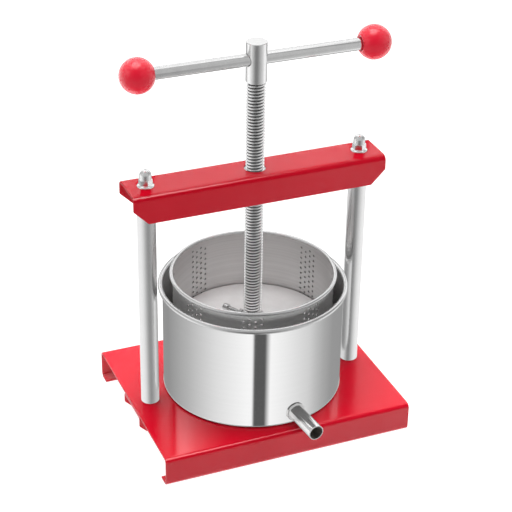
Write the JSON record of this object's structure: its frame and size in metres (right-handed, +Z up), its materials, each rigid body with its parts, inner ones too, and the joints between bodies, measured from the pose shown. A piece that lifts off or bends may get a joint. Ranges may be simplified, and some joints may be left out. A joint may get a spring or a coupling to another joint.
{
  "type": "fruit press",
  "caption": "Tabletop screw press with a perforated basket in a juice barrel with a spout, a red folded steel frame and a sliding tommy bar with ball knobs.",
  "frame": {"origin": "on the ground, at the middle of the whole footprint; the screw's axis stands 16.05 mm behind it", "axes": "+X along the crossbeam to the right, +Y to the back, away from the spout, +Z up"},
  "size_m": [0.2966, 0.258, 0.44],
  "materials": {
    "red_paint": "glossy red powder coat",
    "turned_steel": "turned, satin",
    "bright_steel": "ground and polished bright steel",
    "polished_steel": "mirror polished stainless steel",
    "satin_steel": "satin stainless steel",
    "red_plastic": "satin moulded plastic"
  },
  "bodies": {
    "frame": {"base_plate": "red_paint", "base_stiffener": "red_paint", "crossbeam": "red_paint", "screw_nut": "turned_steel", "left_post": "bright_steel", "right_post": "bright_steel", "left_tie_rod": "turned_steel", "right_tie_rod": "turned_steel", "left_cap_nut": "bright_steel", "right_cap_nut": "bright_steel", "left_lower_nut": "turned_steel", "right_lower_nut": "turned_steel"},
    "barrel": {"barrel_wall": "polished_steel", "barrel_floor": "polished_steel", "spout_tube": "polished_steel", "spout_collar": "polished_steel"},
    "basket": {"basket_wall": "satin_steel", "basket_floor": "satin_steel"},
    "press_plate": {"pressing_disc": "satin_steel", "disc_collar": "turned_steel", "retaining_screw": "turned_steel", "retaining_lock_nut": "turned_steel"},
    "screw": {"press_screw": "turned_steel", "screw_head": "turned_steel"},
    "handle": {"handle_bar": "bright_steel", "left_knob": "red_plastic", "right_knob": "red_plastic"}
  },
  "joints": [
    {"name": "barrel_turn", "type": "hinge", "parent": "frame", "child": "barrel", "pos_m": [0, 0.01605, 0.034], "axis": [0, 0, 1], "range_deg": [-86.5, 74.5]},
    {"name": "basket_turn", "type": "hinge", "parent": "barrel", "child": "basket", "pos_m": [0, 0.01605, 0.0352], "axis": [0, 0, 1], "continuous": true},
    {"name": "plate_travel", "type": "slide", "parent": "frame", "child": "press_plate", "axis": [0, 0, 1], "range_m": [-0.0631, 0.1436]},
    {"name": "screw_turn", "type": "hinge", "parent": "press_plate", "child": "screw", "pos_m": [0, 0.01605, 0.1065], "axis": [0, 0, 1], "range_deg": [-6480, 14760]},
    {"name": "bar_slide", "type": "slide", "parent": "screw", "child": "handle", "axis": [1, 0, 0], "range_m": [-0.104, 0.1]}
  ],
  "couplings": [
    {"joint": "plate_travel", "follows": "screw_turn", "m_per_rad": 0.00055704}
  ]
}
